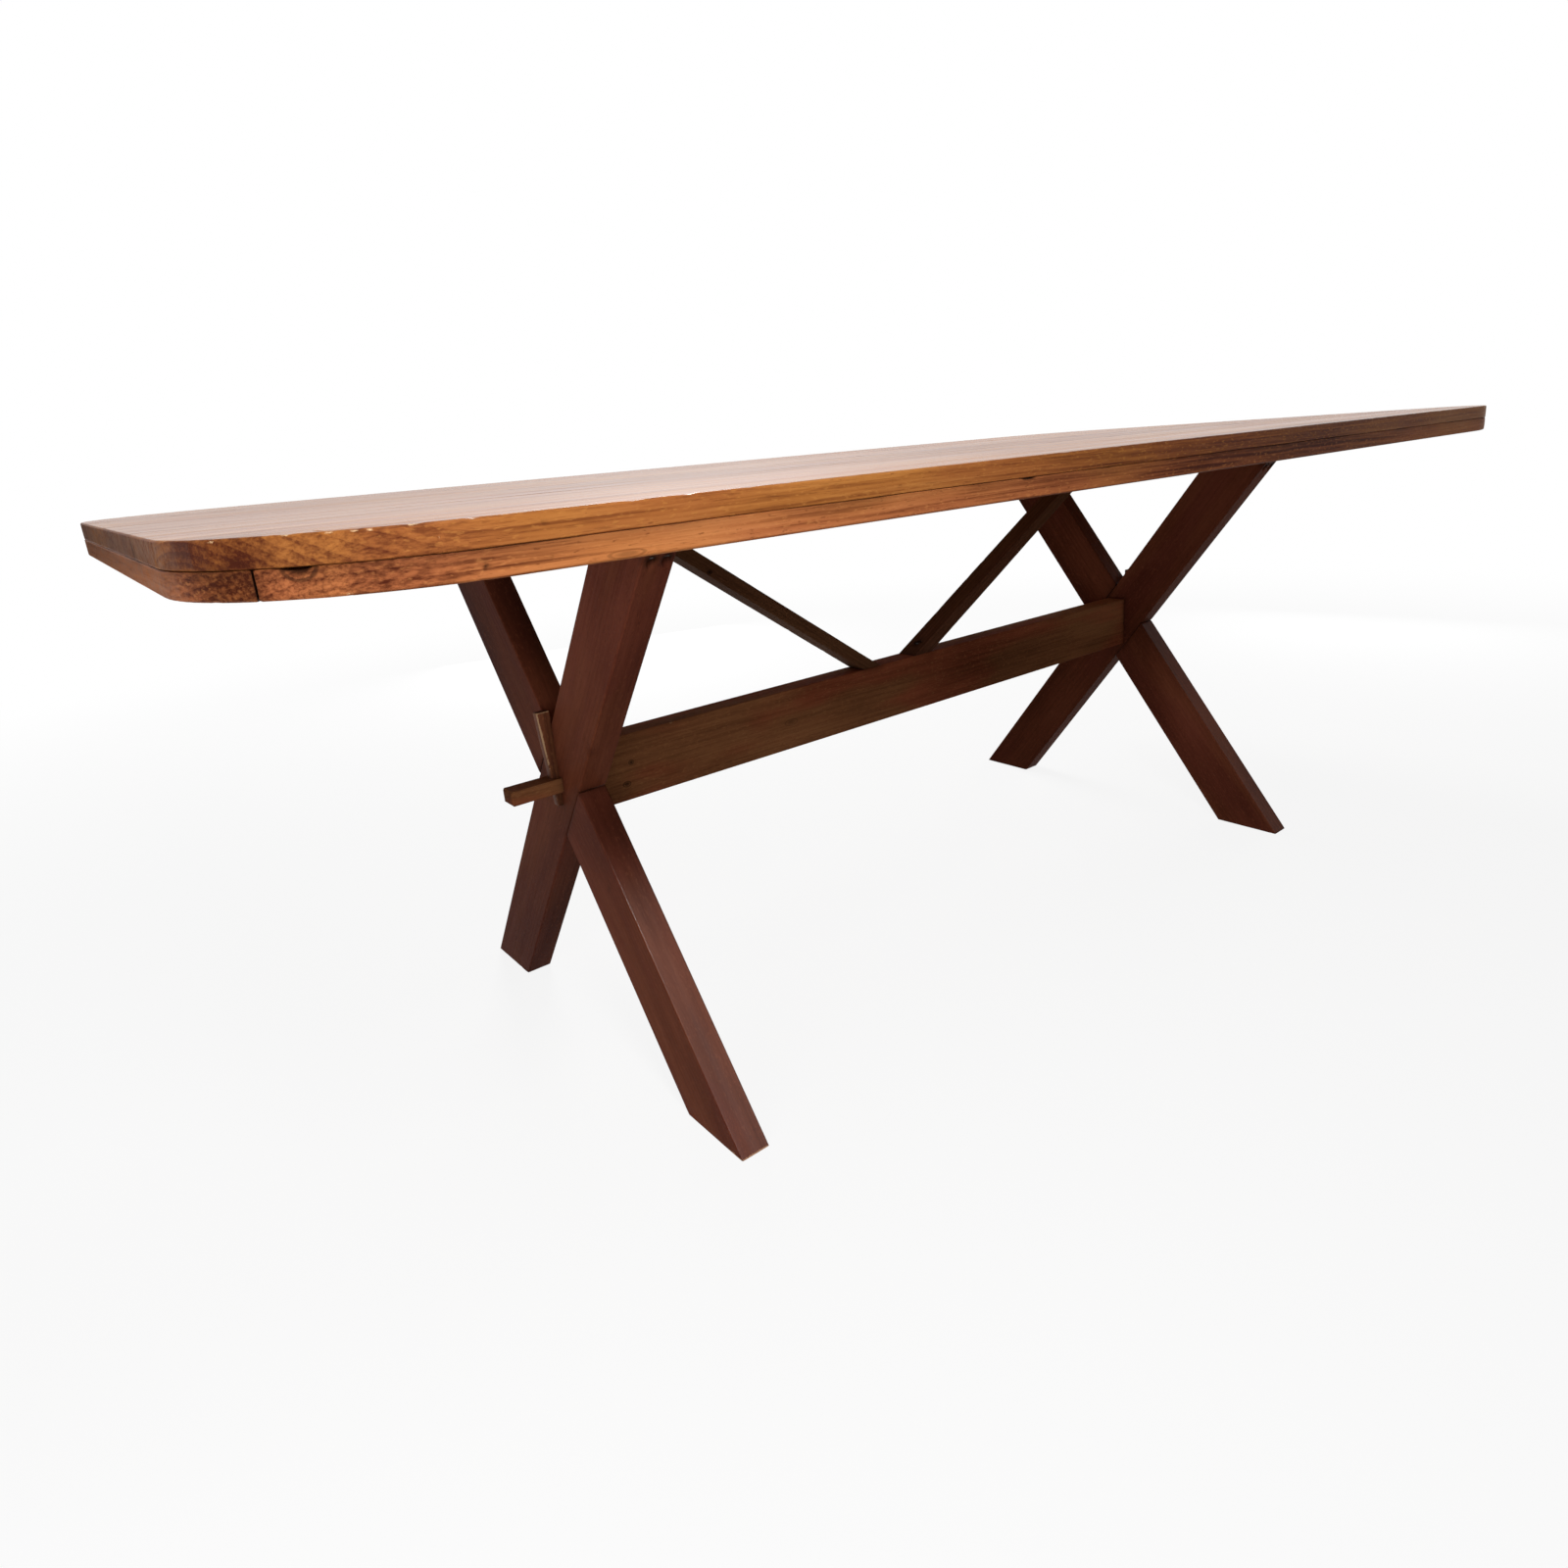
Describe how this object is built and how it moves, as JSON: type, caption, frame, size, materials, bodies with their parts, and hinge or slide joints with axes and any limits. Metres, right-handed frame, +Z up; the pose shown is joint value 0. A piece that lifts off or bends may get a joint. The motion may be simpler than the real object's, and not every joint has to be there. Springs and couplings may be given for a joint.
{
  "type": "trestle dining table",
  "caption": "Wooden trestle dining table: crossed half-lapped legs, a through-tenon stretcher held by tusk wedges, diagonal braces and a planked top with rounded corners.",
  "frame": {"origin": "on the floor, under the middle of the top", "axes": "+X along the top's length, +Y across the top towards the far side in the picture, +Z up"},
  "size_m": [2.05, 1.04, 0.736],
  "materials": {
    "top_wood": "varnished, worn, satin to glossy",
    "strip_wood": "varnished, satin",
    "bearer_wood": "stained, matt",
    "leg_wood": "dark stain, satin",
    "stretcher_wood": "dark stain, satin",
    "brace_wood": "very dark stain, satin",
    "wedge_wood": "dark stain, worn edges",
    "dowel_wood": "plain",
    "screw_steel": "dulled"
  },
  "bodies": {
    "table": {"top_plank_1": "top_wood", "top_plank_2": "top_wood", "top_plank_3": "top_wood", "top_plank_4": "top_wood", "end_strip_left": "strip_wood", "end_strip_right": "strip_wood", "side_strip_near": "strip_wood", "side_strip_far": "strip_wood", "bearer_left": "bearer_wood", "bearer_right": "bearer_wood", "leg_left_outer": "leg_wood", "leg_left_inner": "leg_wood", "leg_right_outer": "leg_wood", "leg_right_inner": "leg_wood", "stretcher": "stretcher_wood", "brace_left": "brace_wood", "brace_right": "brace_wood", "plank_dowels": "dowel_wood", "leg_screws": "screw_steel", "bearer_screws": "screw_steel", "strip_screws": "screw_steel", "brace_screws": "screw_steel"},
    "wedge_left": {"wedge_left": "wedge_wood"},
    "wedge_right": {"wedge_right": "wedge_wood"}
  },
  "joints": [
    {"name": "wedge_left_lift", "type": "slide", "parent": "table", "child": "wedge_left", "axis": [0, 0, 1], "range_m": [0, 0.045]},
    {"name": "wedge_right_lift", "type": "slide", "parent": "table", "child": "wedge_right", "axis": [0, 0, 1], "range_m": [0, 0.045]}
  ]
}
